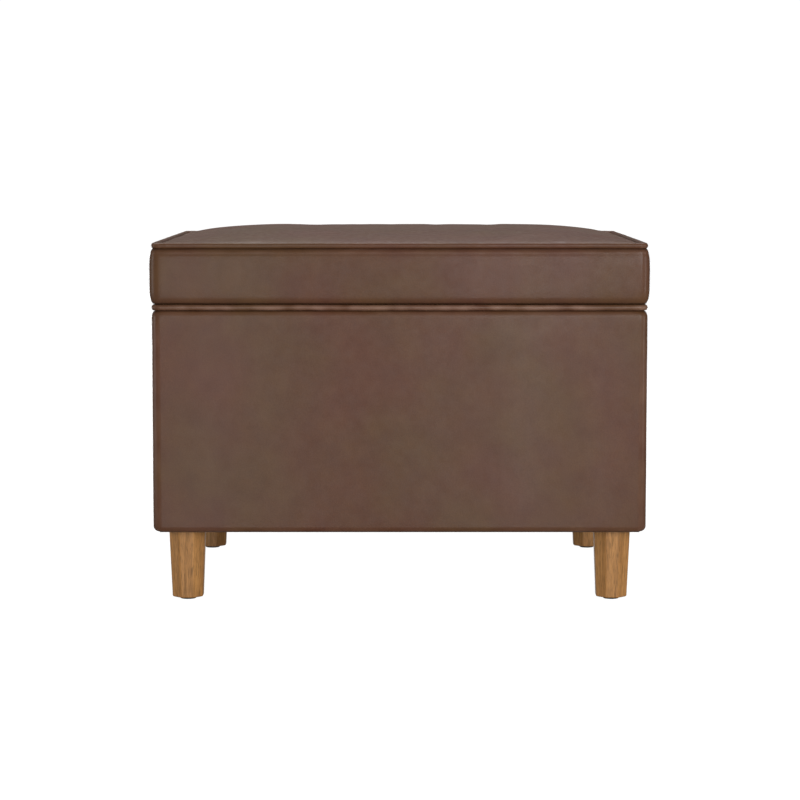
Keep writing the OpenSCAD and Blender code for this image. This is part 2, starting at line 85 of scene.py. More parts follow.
def new_object(name, points, faces, smooth=True):
    mesh = bpy.data.meshes.new(name)
    mesh.from_pydata([tuple(p) for p in points], [], faces)
    mesh.validate()
    mesh.polygons.foreach_set("use_smooth", [smooth] * len(mesh.polygons))
    obj = bpy.data.objects.new(name, mesh)
    bpy.context.scene.collection.objects.link(obj)
    return obj


def point_array(obj):
    return np.array([v.co for v in obj.data.vertices])


def paint(obj, name, values):
    """Keeps one number for each point, for the materials to read."""
    layer = obj.data.attributes.new(name, "FLOAT", "POINT")
    layer.data.foreach_set("value", np.asarray(values, float))


def side_steps(length, step, fine):
    """Distances along a side from 0 to length: evenly spaced, and with the fine ones near both ends."""
    fine = [f for f in fine if f < length / 3]
    last = fine[-1] if fine else 0
    inner = np.linspace(last, length - last, max(2, round(length / step)))
    if not fine:
        return list(inner)
    return [0.0, *fine[:-1], *inner, *[length - f for f in reversed(fine[:-1])], length]


class Outline:
    """An anticlockwise rounded rectangle, with the same number of points however far in it is taken."""

    def __init__(self, half_w, half_d, radius, step, corner_steps=8, fine=()):
        self.half_w, self.half_d, self.radius = half_w, half_d, radius
        self.sides = [side_steps(2 * (h - radius), step, list(fine)) for h in (half_d, half_w)]
        self.corner_steps = corner_steps

    def points(self, inset=0.0, radius=None):
        """The points and their outward normals, in one level ring."""
        r = max(self.radius - inset, 1 * MM) if radius is None else radius
        w, d = self.half_w - inset - r, self.half_d - inset - r
        corners = [(w, d), (-w, d), (-w, -d), (w, -d)]
        at, out = [], []
        for k, (cx, cy) in enumerate(corners):
            for i in range(self.corner_steps + 1):
                a = (k + i / self.corner_steps) * math.pi / 2
                n = (math.cos(a), math.sin(a))
                at.append((cx + r * n[0], cy + r * n[1]))
                out.append(n)
            a = (k + 1) * math.pi / 2
            n = (math.cos(a), math.sin(a))
            nx, ny = corners[(k + 1) % 4]
            start, end = np.array([cx + r * n[0], cy + r * n[1]]), np.array([nx + r * n[0], ny + r * n[1]])
            steps = self.sides[(k + 1) % 2]
            for s in steps[1:-1]:
                at.append(tuple(start + (end - start) * s / steps[-1]))
                out.append(n)
        return np.array(at), np.array(out)


def loft(name, outline, rows, push=None, cap_start=False, cap_end=False, downwards=False):
    """A skin through level rings. Each row is (inset, z) or (inset, z, corner radius).

    push(points, normals, row index) gives how far each point of a ring moves outwards. The outside's rows
    go up, or down if downwards is true.
    """
    points, faces, count = [], [], 0
    for i, row in enumerate(rows):
        at, out = outline.points(row[0], row[2] if len(row) > 2 else None)
        ring = np.column_stack([at, np.full(len(at), row[1])])
        if push is not None:
            ring[:, :2] += out * np.asarray(push(ring, out, i))[:, None]
        points.append(ring)
        count = len(ring)
    for i in range(len(rows) - 1):
        for k in range(count):
            a, b = i * count + k, i * count + (k + 1) % count
            faces.append((b, a, a + count, b + count) if downwards else (a, b, b + count, a + count))
    if cap_start:
        faces.append(tuple(range(count - 1, -1, -1)))
    if cap_end:
        faces.append(tuple((len(rows) - 1) * count + k for k in range(count)))
    return new_object(name, np.concatenate(points), faces)


def thicken(obj, thickness, offset=-1):
    solid = obj.modifiers.new("thickness", "SOLIDIFY")
    solid.thickness = thickness
    solid.offset = offset
    solid.use_even_offset = False
    return obj


# ---------- materials ----------

class Graph:
    """A node material with one Principled shader."""

    def __init__(self, name, **shader):
        self.material = bpy.data.materials.new(name)
        self.material.use_nodes = True
        self.tree = self.material.node_tree
        self.shader = self.tree.nodes["Principled BSDF"]
        for key, value in shader.items():
            self.shader.inputs[key.replace("_", " ")].default_value = value
        self.place = self.add("ShaderNodeTexCoord").outputs["Object"]

    def add(self, kind, inputs=None, **settings):
        made = self.tree.nodes.new(kind)
        for key, value in settings.items():
            setattr(made, key, value)
        for key, value in (inputs or {}).items():
            if isinstance(value, bpy.types.NodeSocket):
                self.tree.links.new(value, made.inputs[key])
            else:
                made.inputs[key].default_value = value
        return made

    def link(self, socket, name):
        self.tree.links.new(socket, self.shader.inputs[name])

    def scaled(self, scale):
        return self.add("ShaderNodeMapping", {"Vector": self.place, "Scale": scale}).outputs["Vector"]

    def noise(self, size, detail=4, vector=None, roughness=0.55, distortion=0.0):
        """Noise from 0 to 1 with lumps of that size in metres."""
        values = {"Vector": vector or self.place, "Scale": 1 / size, "Detail": detail, "Roughness": roughness,
                  "Distortion": distortion}
        return self.add("ShaderNodeTexNoise", values).outputs["Fac"]

    def cells(self, size, feature="F1", vector=None):
        values = {"Vector": vector or self.place, "Scale": 1 / size}
        return self.add("ShaderNodeTexVoronoi", values, feature=feature).outputs["Distance"]

    def ramp(self, value, low, high, low_at=0.35, high_at=0.65):
        """Turns 0 to 1 into a run between two colours or two numbers."""
        made = self.add("ShaderNodeValToRGB", {"Fac": value})
        for element, position, colour in zip(made.color_ramp.elements, (low_at, high_at), (low, high)):
            element.position = position
            element.color = (*colour, 1) if hasattr(colour, "__len__") else (colour, colour, colour, 1)
        return made.outputs["Color"]

    def mix(self, a, b, amount, blend="MIX"):
        made = self.add("ShaderNodeMix", data_type="RGBA", blend_type=blend)
        for index, value in ((0, amount), (6, a), (7, b)):
            if isinstance(value, bpy.types.NodeSocket):
                self.tree.links.new(value, made.inputs[index])
            elif index == 0:
                made.inputs[0].default_value = value
            else:
                made.inputs[index].default_value = (*value, 1)
        return made.outputs[2]

    def math(self, operation, a, b=0.0):
        made = self.add("ShaderNodeMath", operation=operation)
        for index, value in enumerate((a, b)):
            if isinstance(value, bpy.types.NodeSocket):
                self.tree.links.new(value, made.inputs[index])
            else:
                made.inputs[index].default_value = value
        return made.outputs[0]

    def painted(self, name):
        return self.add("ShaderNodeAttribute", attribute_name=name).outputs["Fac"]

    def bump(self, height, distance, strength=1.0, after=None):
        values = {"Height": height, "Distance": distance, "Strength": strength}
        if after is not None:
            values["Normal"] = after
        return self.add("ShaderNodeBump", values).outputs["Normal"]


def leather_material():
    """Brown semi-matte leather: fine pebbled grain, slow clouding, pale rubbed ridges with a painted
    highlight on the piping, and painted shade in the seams.
    """
    g = Graph("leather", Roughness=0.5, Specular_IOR_Level=0.155, Coat_Weight=0.10, Coat_Roughness=0.2)
    clouds = g.noise(120 * MM, detail=3)
    tint = g.ramp(clouds, (0.0715, 0.0262, 0.0135), (0.0670, 0.0304, 0.0120), 0.36, 0.64)
    mottle = g.ramp(g.noise(30 * MM, detail=5, roughness=0.6), 0.90, 1.08, 0.32, 0.70)
    colour = g.mix(tint, mottle, 1.0, "MULTIPLY")
    speck = g.ramp(g.noise(1.7 * MM, detail=3), 0.86, 1.07, 0.38, 0.62)
    colour = g.mix(colour, speck, 0.6, "MULTIPLY")
    # Paler colour on rubbed ridges, and a painted highlight on the piping's outer half.
    colour = g.mix(colour, (0.190, 0.108, 0.076), g.math("MULTIPLY", g.painted("rubbed_and_highlight"), 0.55))
    # Painted shade: near black in the seam grooves and where the leather turns in under the piping.
    colour = g.mix(colour, (0.012, 0.005, 0.003), g.math("MULTIPLY", g.painted("seam_shade"), 0.85))
    g.link(colour, "Base Color")
    g.link(g.ramp(g.noise(9 * MM, detail=4), 0.42, 0.54), "Roughness")
    pebbles = g.ramp(g.cells(1.15 * MM, "SMOOTH_F1"), 1.0, 0.0, 0.0, 0.75)
    folds = g.ramp(g.noise(5 * MM, detail=5, roughness=0.65), 0.0, 1.0, 0.3, 0.7)
    grain = g.bump(pebbles, 0.08 * MM, 0.4)
    g.link(g.bump(folds, 0.12 * MM, 0.4, after=grain), "Normal")
    return g.material


def oak_material(name, dark, light):
    """Solid wood with its grain along Z: broad figure, fine streaks and dark pores."""
    g = Graph(name, Roughness=0.5, Specular_IOR_Level=0.18, Coat_Weight=0.05, Coat_Roughness=0.3)
    figure = g.noise(11 * MM, detail=4, vector=g.scaled((1, 1, 0.06)), distortion=0.5)
    streaks = g.noise(1.6 * MM, detail=5, vector=g.scaled((1, 1, 0.035)), roughness=0.65)
    pores = g.noise(0.75 * MM, detail=2, vector=g.scaled((1, 1, 0.05)))
    colour = g.ramp(figure, dark, light, 0.36, 0.62)
    colour = g.mix(colour, g.ramp(streaks, 0.70, 1.10, 0.36, 0.60), 0.85, "MULTIPLY")
    colour = g.mix(colour, g.ramp(pores, 0.42, 1.0, 0.36, 0.47), 0.7, "MULTIPLY")
    g.link(colour, "Base Color")
    g.link(g.ramp(streaks, 0.52, 0.36), "Roughness")
    g.link(g.bump(pores, 0.12 * MM, 0.35), "Normal")
    return g.material


def plywood_material():
    """Birch plywood: pale faces with a long figure, and thin darker plies in its thickness."""
    g = Graph("birch plywood", Roughness=0.7, Specular_IOR_Level=0.25)
    figure = g.noise(26 * MM, detail=5, vector=g.scaled((0.12, 1, 1)), distortion=1.2)
    colour = g.ramp(figure, (0.50, 0.33, 0.18), (0.66, 0.49, 0.30))
    flecks = g.noise(1.8 * MM, detail=3, vector=g.scaled((0.06, 1, 1)))
    colour = g.mix(colour, g.ramp(flecks, 0.80, 1.05), 0.7, "MULTIPLY")
    g.link(colour, "Base Color")
    g.link(g.bump(flecks, 0.1 * MM, 0.4), "Normal")
    return g.material


def foam_material():
    """Cream open-cell foam."""
    g = Graph("foam", Roughness=0.95, Specular_IOR_Level=0.1)
    cells = g.cells(1.3 * MM)
    g.link(g.ramp(cells, (0.70, 0.64, 0.48), (0.86, 0.82, 0.68), 0.1, 0.7), "Base Color")
    g.link(g.bump(cells, 0.5 * MM, 0.7), "Normal")
    return g.material


def woven_material(name, dark, light, pitch):
    """Plain weave: two sets of threads that cross in every plane the cloth lies in."""
    g = Graph(name, Roughness=0.9, Specular_IOR_Level=0.15, Sheen_Weight=0.25, Sheen_Roughness=0.5)
    waves = []
    for direction in ((1, 1, 0), (1, -1, 1)):
        along = g.add("ShaderNodeVectorMath", operation="DOT_PRODUCT")
        g.tree.links.new(g.place, along.inputs[0])
        along.inputs[1].default_value = direction
        waves.append(g.math("SINE", g.math("MULTIPLY", along.outputs["Value"], math.tau / pitch)))
    crossed = g.math("MULTIPLY", g.math("ADD", waves[0], 1.3), g.math("ADD", waves[1], 1.3))
    threads = g.ramp(g.math("MULTIPLY", crossed, 0.2), 0.0, 1.0, 0.02, 0.9)
    colour = g.mix(dark, light, threads)
    colour = g.mix(colour, g.ramp(g.noise(14 * MM), 0.75, 1.2), 0.8, "MULTIPLY")
    g.link(colour, "Base Color")
    g.link(g.bump(threads, 0.15 * MM, 0.6), "Normal")
    return g.material


def nonwoven_material():
    """Black spun-bonded cloth: matted fibres and a grid of small bonded dimples."""
    g = Graph("dust cloth", Roughness=0.85, Specular_IOR_Level=0.2, Sheen_Weight=0.2, Sheen_Roughness=0.6)
    fibres = g.noise(1.2 * MM, detail=6, roughness=0.75, distortion=2.5)
    dimples = g.ramp(g.cells(1.7 * MM), 0.0, 1.0, 0.1, 0.35)
    g.link(g.ramp(fibres, (0.012, 0.012, 0.013), (0.045, 0.045, 0.047)), "Base Color")
    bump = g.bump(fibres, 0.1 * MM, 0.5)
    g.link(g.bump(dimples, 0.1 * MM, 0.6, after=bump), "Normal")
    return g.material


def zinc_material(name, colour, roughness):
    """Zinc-plated steel with faint rolling lines, cloudy plating and small smudges."""
    g = Graph(name, Metallic=1.0, Roughness=roughness)
    clouds = g.noise(7 * MM, detail=5)
    lines = g.noise(0.35 * MM, detail=2, vector=g.scaled((0.03, 1, 1)))
    dim = tuple(0.82 * c for c in colour)
    g.link(g.mix(g.ramp(clouds, dim, colour), g.ramp(lines, 0.88, 1.05), 0.6, "MULTIPLY"), "Base Color")
    g.link(g.ramp(clouds, roughness + 0.09, roughness - 0.06), "Roughness")
    g.link(g.bump(lines, 0.03 * MM, 0.35), "Normal")
    return g.material


def moulded_material(name, colour, roughness, grain):
    """Moulded plastic or rubber with a fine spark-eroded texture."""
    g = Graph(name, Roughness=roughness, Specular_IOR_Level=0.35)
    texture = g.noise(grain, detail=4)
    light = tuple(c * 1.8 + 0.004 for c in colour)
    g.link(g.ramp(texture, colour, light), "Base Color")
    g.link(g.ramp(g.noise(6 * MM), roughness - 0.07, roughness + 0.08), "Roughness")
    g.link(g.bump(texture, 0.08 * MM, 0.4), "Normal")
    return g.material


LEATHER = leather_material()
OAK = oak_material("oak", (0.240, 0.110, 0.031), (0.330, 0.160, 0.050))
PLYWOOD = plywood_material()
PINE = oak_material("pine", (0.56, 0.36, 0.17), (0.68, 0.47, 0.24))
FOAM = foam_material()
LINING = woven_material("lining cloth", (0.010, 0.009, 0.009), (0.055, 0.051, 0.048), 0.9 * MM)
DUST_CLOTH = nonwoven_material()
ZINC = zinc_material("zinc steel", (0.56, 0.56, 0.545), 0.42)
DARK_STEEL = zinc_material("pin steel", (0.42, 0.41, 0.40), 0.45)
PLASTIC = moulded_material("black plastic", (0.010, 0.010, 0.010), 0.45, 0.5 * MM)
RUBBER = moulded_material("black rubber", (0.014, 0.014, 0.014), 0.75, 0.8 * MM)


def dress(obj, material, body):
    """Gives a new piece its material and the body that it moves with."""
    obj.data.materials.clear()
    obj.data.materials.append(material)
    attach(obj, body)
    return obj


# ---------- body ----------

BODY_FINE = [0.6 * MM, 1.2 * MM, 1.8 * MM, 2.4 * MM, 3.2 * MM, 4.2 * MM, 6 * MM, 9 * MM]
ROOM_X, ROOM_Y = LINING_HI.x, LINING_HI.y           # inner faces of the panels
FLAP_INSET = HALF_W - ROOM_X + LEATHER_T            # of the leather turned in over the rim
FLAP_Z = LINING_HI.z
FOLD_INSET = 25 * MM                                # how far the leather is turned in under the body
RIM_ROUND = (5 * MM, 8 * MM)                        # width and height of the rim's outer round
FOOT_ROUND = (6.5 * MM, 7.5 * MM)
SEAM_BACK = CORNER_R + 2.4 * MM                     # from the front and back faces to the side seams
FACE_FADE = 24 * MM                                 # how near the rim and foot the padding flattens out

# Soft upright swells of the leather across the front and back: (x, half width, height)
SOFT_BANDS = [(-225 * MM, 38 * MM, 0.5 * MM), (-120 * MM, 50 * MM, -0.2 * MM), (-40 * MM, 60 * MM, 0.2 * MM),
              (158 * MM, 50 * MM, 0.9 * MM), (235 * MM, 30 * MM, -0.2 * MM)]


def body_rows():
    """(inset, z, corner radius) from the turned-in flap, over the rim, down the outside and in below."""
    rows = [(FLAP_INSET + 0.3 * MM, FLAP_Z + 0.1 * MM, 2 * MM), (FLAP_INSET, FLAP_Z + 4 * MM, 2 * MM),
            (FLAP_INSET, RIM_Z - 8 * MM, 2 * MM)]
    for a in np.linspace(0, math.pi / 2, 5):
        inset, z = FLAP_INSET - 3 * MM * (1 - math.cos(a)), RIM_Z - 4 * MM * (1 - math.sin(a))
        rows.append((inset, z, 3 * MM + a * 2 * MM))
    rows += [(FLAP_INSET - 7 * MM, RIM_Z, 7 * MM), (RIM_ROUND[0] + 2 * MM, RIM_Z, 8 * MM)]
    for a in np.linspace(0, math.pi / 2, 8):
        rows.append((RIM_ROUND[0] * (1 - math.sin(a)), RIM_Z - RIM_ROUND[1] * (1 - math.cos(a)), CORNER_R))
    for z in np.linspace(RIM_Z - RIM_ROUND[1], BODY_Z + FOOT_ROUND[1], 34)[1:-1]:
        rows.append((0.0, z, CORNER_R))
    for a in np.linspace(0, math.pi / 2, 8):
        rows.append((FOOT_ROUND[0] * (1 - math.cos(a)), BODY_Z + FOOT_ROUND[1] * (1 - math.sin(a)), CORNER_R))
    return rows + [(12 * MM, BODY_Z, 7 * MM), (18 * MM, BODY_Z, 5 * MM), (FOLD_INSET, BODY_Z, 4 * MM)]


def side_seam(points, normals):
    """How far behind its corner's seam each point of the two sides lies, or far away elsewhere."""
    behind = (HALF_D - SEAM_BACK) - np.abs(points[:, 1])
    return np.where(np.abs(normals[:, 0]) > 0.9, behind, 1.0)


def ridge(distance, width):
    return np.exp(-(distance / width) ** 2)


def make_body_cover():
    outline = Outline(HALF_W, HALF_D, CORNER_R, 9 * MM, 10, BODY_FINE)
    rows = body_rows()
    normals = np.tile(outline.points()[1], (len(rows), 1))

    def push(ring, out, i):
        """Slow fullness of the padding, and a sewn seam on each side just behind its corners."""
        x, y, z = ring.T
        outside = rows[i][0] < RIM_ROUND[0] and z[0] > BODY_Z
        face = smooth_step((RIM_Z - RIM_ROUND[1] - z) / FACE_FADE)
        face = face * smooth_step((z - BODY_Z - FOOT_ROUND[1]) / FACE_FADE)
        wide = np.abs(out[:, 1]) > 0.5
        full = np.where(wide, 0.35 * MM * face * (1 - (np.abs(x) / HALF_W) ** 6), 0)
        bands = sum(deep * ridge(x - at, size) for at, size, deep in SOFT_BANDS) * wide
        upright = ring * [1, 1, 0.35]
        slow, quick = 0.15 * MM * ripple(upright, 95 * MM, 3), 0.08 * MM * ripple(ring, 38 * MM, 13)
        swell = face * (slow + quick + bands)
        behind = side_seam(ring, out)
        seam = 0.28 * MM * ridge(behind - 3.4 * MM, 1.5 * MM) - 0.75 * MM * ridge(behind, 0.7 * MM)
        return full + swell + (seam if outside else 0)

    cover = loft("body_leather", outline, rows, push, downwards=True)
    co = point_array(cover)
    insets = np.repeat([r[0] for r in rows], len(co) // len(rows))
    outer = (insets < RIM_ROUND[0] + 1 * MM) & (co[:, 2] > BODY_Z)
    corner = (np.abs(co[:, 0]) > HALF_W - CORNER_R) & (np.abs(co[:, 1]) > HALF_D - CORNER_R)
    rim = ridge(co[:, 2] - (RIM_Z - 2.5 * MM), 3 * MM) * outer
    foot = ridge(co[:, 2] - (BODY_Z + 2.5 * MM), 3 * MM) * outer
    scuff = 0.5 + 0.5 * ripple(co, 22 * MM, 9)
    paint(cover, "rubbed_and_highlight", np.clip((0.3 * corner + 0.35 * rim + 0.3 * foot) * scuff, 0, 1))
    # Painted shade: the leather darkens in the groove of each side seam.
    paint(cover, "seam_shade", np.clip(ridge(side_seam(co, normals), 0.8 * MM) * outer, 0, 1))
    thicken(cover, LEATHER_T)
    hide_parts("body_cover")
    return dress(cover, LEATHER, "base")


def rounding(z):
    """How far the body's rounded rim or foot stands in from its straight sides at the height z."""
    inset = 0.0
    for depth, (width, height) in ((RIM_Z - z, RIM_ROUND), (z - BODY_Z, FOOT_ROUND)):
        inset = max(inset, width * (1 - math.sqrt(1 - min(max(1 - depth / height, 0), 1) ** 2)))
    return inset


def make_body_padding():
    """Four foam pads round the panels: the front and back ones turn the corners."""
    outline = Outline(HALF_W, HALF_D, CORNER_R, 12 * MM, 12, BODY_FINE)
    space = outline.points(LEATHER_T + 0.1 * MM)[0]
    thinnest = 0.4 * MM
    low, high = BODY_Z + LEATHER_T + 1.5 * MM, FRAME_HI.z - 1.2 * MM
    edge = np.array([0, 0.8, 1.8, 3, 4.5, 6]) * MM
    heights = np.concatenate([low + edge, np.linspace(low + 12 * MM, high - 12 * MM, 14), high - edge[::-1]])
    points, faces = [], []
    for axis, side in ((1, -1), (1, 1), (0, -1), (0, 1)):
        inner = (FRAME_HI.x, FRAME_HI.y)[axis] + 0.1 * MM
        keep = space[:, axis] * side > inner
        if axis == 0:
            keep &= np.abs(space[:, 1]) < FRAME_HI.y - thinnest
        first = next(i for i in range(len(keep)) if keep[i] and not keep[i - 1])
        chosen = [(first + i) % len(space) for i in range(int(keep.sum()))]
        start, half = len(points), len(chosen)
        for z in heights:
            stood_in = rounding(z - LEATHER_T if z < RIM_Z / 2 else z + LEATHER_T)
            outer = outline.points(LEATHER_T + 0.1 * MM + stood_in)[0][chosen]
            outer[:, axis] = side * np.maximum(outer[:, axis] * side, inner + thinnest)
            back = outer[::-1].copy()
            back[:, axis] = inner * side
            points += [(x, y, z) for x, y in np.concatenate([outer, back])]
        n = 2 * half
        for k in range(len(heights) - 1):
            faces += [(start + k * n + i, start + k * n + (i + 1) % n, start + (k + 1) * n + (i + 1) % n,
                       start + (k + 1) * n + i) for i in range(n)]
        for k, turned in ((0, True), (len(heights) - 1, False)):
            for i in range(half - 1):
                quad = [start + k * n + j for j in (i, i + 1, n - 2 - i, n - 1 - i)]
                faces.append(tuple(reversed(quad)) if turned else tuple(quad))
    pads = new_object("body_foam", points, faces)
    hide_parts("body_padding")
    return dress(pads, FOAM, "base")


# ---------- lid ----------

SEAM_TOP_Z = TOP_WELT_LO.z + 0.2 * MM
SEAM_LOW_Z = BAND_LO.z
TUCK = 2.0 * MM                                     # how far the boxing turns in at its seams
SWELL = BAND_HI.x - HALF_W + TUCK
CROWN_EDGE = 5.6 * MM                               # the top cover's seam, inside the piping's outside
CROWN_SEAM_Z = TOP_WELT_LO.z + 2.2 * MM
CROWN_TOP_Z = CROWN_HI.z - 0.5 * MM                 # before the cloth lifts a little
CROWN_RUN = 150 * MM
CROWN_POWER = 2.2
SHOULDER, SHOULDER_RUN = 5 * MM, 6 * MM             # the quick rise beside the piping
CROWN_GRID, CLOTH_GRID = 3.5 * MM, 6 * MM           # point spacing of the top cover and of its simulation
CLOTH_FRAMES, PUCKER_CAP = 20, 0.9 * MM             # how long the cloth moves, and its deepest pucker


def make_boxing():
    outline = Outline(HALF_W, HALF_D, CORNER_R, 4 * MM, 12)
    heights = np.concatenate([np.linspace(0, 0.12, 9), np.linspace(0.14, 0.84, 16), np.linspace(0.86, 1, 12)])
    span = SEAM_TOP_Z - SEAM_LOW_Z
    rows = [(7 * MM, SEAM_LOW_Z + 0.25 * MM)]
    rows += [(TUCK, SEAM_LOW_Z + span * h) for h in heights]
    rows += [(4.5 * MM, SEAM_TOP_Z + 0.4 * MM)]

    def push(ring, out, i):
        below, above = ring[:, 2] - SEAM_LOW_Z, SEAM_TOP_Z - ring[:, 2]
        if i in (0, len(rows) - 1):
            return np.zeros(len(ring))
        full = SWELL * (1 - np.exp(-above / (6.5 * MM))) * (1 - np.exp(-below / (5.0 * MM)))
        allowance = 0.15 * MM * ridge(above - 4.0 * MM, 1.6 * MM)
        allowance = allowance - 0.10 * MM * ridge(above - 6.8 * MM, 1.6 * MM)
        level = ring * [1, 1, 0.3]
        gathers = 0.35 * MM * ripple(level, 13 * MM, 1) * np.exp(-above / (8 * MM))
        gathers += 0.30 * MM * ripple(level, 15 * MM, 2) * np.exp(-below / (8 * MM))
        slow = 0.35 * MM * ripple(ring, 75 * MM, 4)
        edge = smooth_step(above / (2 * MM)) * smooth_step(below / (2 * MM))
        return full + (allowance + gathers + slow) * edge

    band = loft("lid_boxing_leather", outline, rows, push)
    co = point_array(band)
    below, above = co[:, 2] - SEAM_LOW_Z, SEAM_TOP_Z - co[:, 2]
    # Painted shade: darker where the boxing turns in under both pipings.
    paint(band, "seam_shade", np.clip(np.exp(-above / (1.3 * MM)) + np.exp(-below / (1.3 * MM)), 0, 1))
    scuff = 0.5 + 0.5 * ripple(co, 20 * MM, 8)
    paint(band, "rubbed_and_highlight", np.clip(0.3 * ridge(above - 4.2 * MM, 2 * MM) * scuff, 0, 1))
    thicken(band, LEATHER_T)
    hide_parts("lid_boxing")
    return dress(band, LEATHER, "lid")


def spaced(half, step, edge_step=1.2 * MM):
    """Positions from -half to half, closer together near both ends."""
    out, at, size = [half], half, edge_step
    while at > step:
        at -= size
        size = min(size * 1.25, step)
        out.append(at)
    positive = np.array([p for p in out if p > step * 0.4])
    return np.concatenate([-positive, [0.0], positive[::-1]])


def crown_height(x, y, half_w, half_d):
    """Height of the crowned top at (x, y): a quick rise beside the seam, then a slow one to the middle."""
    across, down = np.clip(half_w - np.abs(x), 0, None), np.clip(half_d - np.abs(y), 0, None)
    rise = CROWN_TOP_Z - CROWN_SEAM_Z - SHOULDER
    quick = (1 - np.exp(-across / SHOULDER_RUN)) * (1 - np.exp(-down / SHOULDER_RUN))
    slow = [1 - (1 - np.clip(s / CROWN_RUN, 0, 1)) ** CROWN_POWER for s in (across, down)]
    return CROWN_SEAM_Z + SHOULDER * quick + rise * slow[0] * slow[1]


def grid_faces(nx, ny):
    return [(j * nx + i, j * nx + i + 1, (j + 1) * nx + i + 1, (j + 1) * nx + i)
            for j in range(ny - 1) for i in range(nx - 1)]


def local_mean(grid, reach):
    """Each value's mean over a square of 2 * reach + 1 grid points."""
    for axis in (0, 1):
        pads = [(reach, reach) if a == axis else (0, 0) for a in (0, 1)]
        padded = np.pad(grid, pads, mode="edge")
        count, size = 2 * reach + 1, grid.shape[axis]
        grid = sum(np.take(padded, range(i, i + size), axis) for i in range(count)) / count
    return grid


def blown_cloth(half_w, half_d, step, cap):
    """How far a sewn-down leather top lifts and puckers when foam fills it.

    Gives x positions, y positions and heights. It is a cloth simulation of the crowned sheet, held at its
    seam and loosely held to the foam's shape.
    """
    xs = np.linspace(-half_w, half_w, round(2 * half_w / step) + 1)
    ys = np.linspace(-half_d, half_d, round(2 * half_d / step) + 1)
    x, y = [a.ravel() for a in np.meshgrid(xs, ys)]
    start = np.column_stack([x, y, crown_height(x, y, half_w, half_d)])
    start[:, 2] += 0.15 * MM * ripple(start, 24 * MM, 31)
    sheet = new_object("cloth_under_test", start, grid_faces(len(xs), len(ys)))
    inside = np.minimum(half_w - np.abs(x), half_d - np.abs(y))
    held = sheet.vertex_groups.new(name="held")
    for i, d in enumerate(inside):
        held.add([i], 1.0 if d < 0.5 * step else 0.035, "REPLACE")
    cloth = sheet.modifiers.new("cloth", "CLOTH")
    setup = cloth.settings
    setup.quality = 8
    setup.mass = 0.35
    setup.tension_stiffness = setup.compression_stiffness = 25
    setup.shear_stiffness = 12
    setup.bending_stiffness = 1.2
    setup.air_damping = 4
    setup.vertex_group_mass = "held"
    setup.pin_stiffness = 1.0
    setup.use_pressure = True
    setup.uniform_pressure_force = 4
    setup.shrink_min = setup.shrink_max = -0.030
    setup.effector_weights.gravity = 0
    cloth.collision_settings.use_collision = False
    scene = bpy.context.scene
    for step_no in range(1, CLOTH_FRAMES + 1):
        scene.frame_set(step_no)
    done = sheet.evaluated_get(bpy.context.evaluated_depsgraph_get())
    moved = np.array([v.co for v in done.data.vertices]) - start
    scene.frame_set(1)
    bpy.data.objects.remove(sheet)
    lift = moved[:, 2].reshape(len(ys), len(xs))
    return xs, ys, cap * np.tanh(0.5 * local_mean(lift - local_mean(lift, 8), 1) / cap)


def sampled(xs, ys, heights, x, y):
    """Heights at the points (x, y), between a grid's own points."""
    fx = np.clip((x - xs[0]) / (xs[1] - xs[0]), 0, len(xs) - 1.001)
    fy = np.clip((y - ys[0]) / (ys[1] - ys[0]), 0, len(ys) - 1.001)
    i, j = fx.astype(int), fy.astype(int)
    u, v = smooth_step(fx - i), smooth_step(fy - j)
    low = heights[j, i] * (1 - u) + heights[j, i + 1] * u
    high = heights[j + 1, i] * (1 - u) + heights[j + 1, i + 1] * u
    return low * (1 - v) + high * v


def make_top_cover():
    half_w, half_d = HALF_W - CROWN_EDGE, HALF_D - CROWN_EDGE
    xs, ys = spaced(half_w, CROWN_GRID), spaced(half_d, CROWN_GRID)
    x, y = [a.ravel() for a in np.meshgrid(xs, ys)]
    z = crown_height(x, y, half_w, half_d)
    lift = sampled(*blown_cloth(half_w, half_d, CLOTH_GRID, PUCKER_CAP), x, y)
    inside = np.minimum(half_w - np.abs(x), half_d - np.abs(y))
    flat = np.column_stack([x, y, np.zeros(len(x))])
    z += lift * (1 - np.exp(-inside / (4 * MM)))
    z += 0.35 * MM * ripple(flat, 19 * MM, 6) * np.exp(-inside / (9 * MM)) * (1 - np.exp(-inside / (3 * MM)))
    z += 0.9 * MM * ripple(flat, 48 * MM, 5) * np.exp(-inside / (22 * MM)) * (1 - np.exp(-inside / (5 * MM)))
    r = CORNER_R - CROWN_EDGE
    a = np.clip(np.abs(x) - (half_w - r), 0, None) / r
    b = np.clip(np.abs(y) - (half_d - r), 0, None) / r
    bent = (a > 0) & (b > 0)
    x = np.where(bent, np.sign(x) * (half_w - r + r * a * np.sqrt(1 - b * b / 2)), x)
    y = np.where(bent, np.sign(y) * (half_d - r + r * b * np.sqrt(1 - a * a / 2)), y)
    cover = new_object("lid_top_leather", np.column_stack([x, y, z]), grid_faces(len(xs), len(ys)))
    # Painted shade: darker beside the seam, where the top tucks under the piping.
    paint(cover, "seam_shade", np.exp(-inside / (1.5 * MM)))
    scuff = 0.5 + 0.5 * ripple(flat, 24 * MM, 7)
    paint(cover, "rubbed_and_highlight", np.clip(0.25 * ridge(inside - 9 * MM, 6 * MM) * scuff, 0, 1))
    thicken(cover, LEATHER_T)
    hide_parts("lid_top_cover")
    return dress(cover, LEATHER, "lid")


